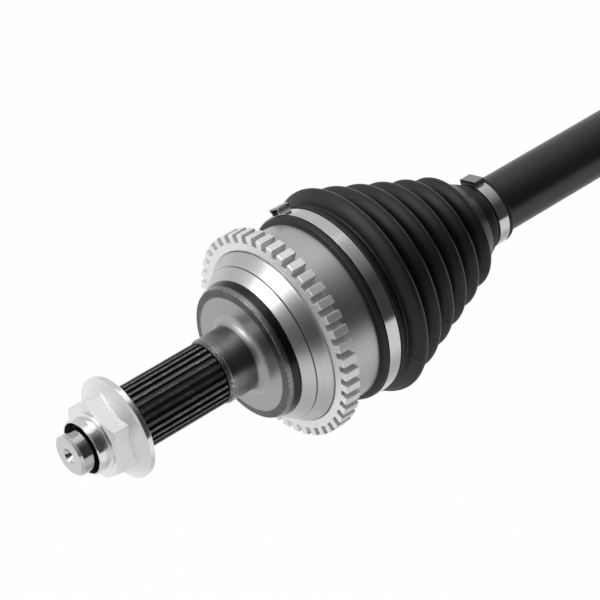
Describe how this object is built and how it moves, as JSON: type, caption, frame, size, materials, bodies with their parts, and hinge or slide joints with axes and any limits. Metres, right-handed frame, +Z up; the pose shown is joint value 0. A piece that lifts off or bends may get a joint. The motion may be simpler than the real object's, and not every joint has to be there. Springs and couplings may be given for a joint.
{
  "type": "cv axle shaft",
  "caption": "Front drive half shaft with a splined stub and flange nut, ball joint, tone ring, two bellows boots, plain bar and a plunging tripod joint.",
  "frame": {"origin": "on the axle's axis in the plane of the hub shoulder", "axes": "+X along the axle toward the gearbox end, +Z up"},
  "size_m": [0.6644, 0.1018, 0.1018],
  "materials": {
    "boot_rubber": "satin",
    "black_steel": "satin black coat",
    "forged_steel": "turned, satin",
    "ring_steel": "blasted, zinc plated",
    "zinc_plate": "bright zinc plated",
    "bearing_steel": "ground",
    "spring_steel": "oiled dark",
    "stainless_band": "rolled stainless"
  },
  "bodies": {
    "shaft": {"axle_bar": "black_steel", "inner_race": "bearing_steel", "race_circlip": "spring_steel", "outboard_boot": "boot_rubber", "outboard_clamp_small": "stainless_band", "inboard_clamp_small": "stainless_band", "spider": "bearing_steel", "spider_circlip": "spring_steel", "needles_1": "bearing_steel", "needles_2": "bearing_steel", "needles_3": "bearing_steel", "roller_ring_1": "spring_steel", "roller_ring_2": "spring_steel", "roller_ring_3": "spring_steel"},
    "stub": {"outboard_bell": "forged_steel", "tone_ring": "ring_steel", "outboard_clamp_large": "stainless_band"},
    "nut": {"axle_nut": "zinc_plate"},
    "cage": {"outboard_cage": "bearing_steel"},
    "boot_link": {"inboard_boot": "boot_rubber"},
    "tulip": {"inboard_tulip": "forged_steel", "gearbox_clip": "spring_steel", "inboard_clamp_large": "stainless_band"},
    "ball_1": {"ball_1": "bearing_steel"},
    "ball_2": {"ball_2": "bearing_steel"},
    "ball_3": {"ball_3": "bearing_steel"},
    "ball_4": {"ball_4": "bearing_steel"},
    "ball_5": {"ball_5": "bearing_steel"},
    "ball_6": {"ball_6": "bearing_steel"},
    "roller_1": {"roller_1": "bearing_steel"},
    "roller_2": {"roller_2": "bearing_steel"},
    "roller_3": {"roller_3": "bearing_steel"}
  },
  "joints": [
    {"name": "outboard_tilt", "type": "hinge", "parent": "shaft", "child": "stub", "pos_m": [0.0456, 0, 0], "axis": [0, 1, 0], "range_deg": [-45, 45], "deforming": ["outboard_boot"]},
    {"name": "cage_tilt", "type": "hinge", "parent": "shaft", "child": "cage", "pos_m": [0.0456, 0, 0], "axis": [0, 1, 0], "range_deg": [-23, 23]},
    {"name": "nut_unscrew", "type": "slide", "parent": "stub", "child": "nut", "axis": [-1, 0, 0], "range_m": [0, 0.04]},
    {"name": "inboard_tilt", "type": "hinge", "parent": "shaft", "child": "boot_link", "pos_m": [0.457, 0, 0], "axis": [0, 1, 0], "range_deg": [-15, 15], "deforming": ["inboard_boot"]},
    {"name": "inboard_plunge", "type": "slide", "parent": "boot_link", "child": "tulip", "axis": [1, 0, 0], "range_m": [-0.018, 0.018], "deforming": ["inboard_boot"]},
    {"name": "ball_1_roll", "type": "hinge", "parent": "shaft", "child": "ball_1", "pos_m": [0.0416, 0, 0], "axis": [0, 1, 0], "range_deg": [-23, 23]},
    {"name": "ball_2_roll", "type": "hinge", "parent": "shaft", "child": "ball_2", "pos_m": [0.0416, 0, 0], "axis": [0, 0.5, 0.866], "range_deg": [-23, 23]},
    {"name": "ball_3_roll", "type": "hinge", "parent": "shaft", "child": "ball_3", "pos_m": [0.0416, 0, 0], "axis": [0, -0.5, 0.866], "range_deg": [-23, 23]},
    {"name": "ball_4_roll", "type": "hinge", "parent": "shaft", "child": "ball_4", "pos_m": [0.0416, 0, 0], "axis": [0, -1, 0], "range_deg": [-23, 23]},
    {"name": "ball_5_roll", "type": "hinge", "parent": "shaft", "child": "ball_5", "pos_m": [0.0416, 0, 0], "axis": [0, -0.5, -0.866], "range_deg": [-23, 23]},
    {"name": "ball_6_roll", "type": "hinge", "parent": "shaft", "child": "ball_6", "pos_m": [0.0416, 0, 0], "axis": [0, 0.5, -0.866], "range_deg": [-23, 23]},
    {"name": "roller_1_spin", "type": "hinge", "parent": "shaft", "child": "roller_1", "pos_m": [0.457, 0, 0], "axis": [0, 0, 1], "range_deg": [-64, 64]},
    {"name": "roller_2_spin", "type": "hinge", "parent": "shaft", "child": "roller_2", "pos_m": [0.457, 0, 0], "axis": [0, -0.866, -0.5], "range_deg": [-64, 64]},
    {"name": "roller_3_spin", "type": "hinge", "parent": "shaft", "child": "roller_3", "pos_m": [0.457, 0, 0], "axis": [0, 0.866, -0.5], "range_deg": [-64, 64]}
  ],
  "couplings": [
    {"joint": "cage_tilt", "follows": "outboard_tilt", "ratio": 0.5},
    {"joint": "ball_1_roll", "follows": "outboard_tilt", "ratio": 0.5},
    {"joint": "ball_2_roll", "follows": "outboard_tilt", "ratio": 0.26},
    {"joint": "ball_3_roll", "follows": "outboard_tilt", "ratio": -0.26},
    {"joint": "ball_4_roll", "follows": "outboard_tilt", "ratio": -0.5},
    {"joint": "ball_5_roll", "follows": "outboard_tilt", "ratio": -0.26},
    {"joint": "ball_6_roll", "follows": "outboard_tilt", "ratio": 0.26},
    {"joint": "roller_1_spin", "follows": "inboard_plunge", "rad_per_m": 60.606},
    {"joint": "roller_2_spin", "follows": "inboard_plunge", "rad_per_m": 60.606},
    {"joint": "roller_3_spin", "follows": "inboard_plunge", "rad_per_m": 60.606}
  ]
}
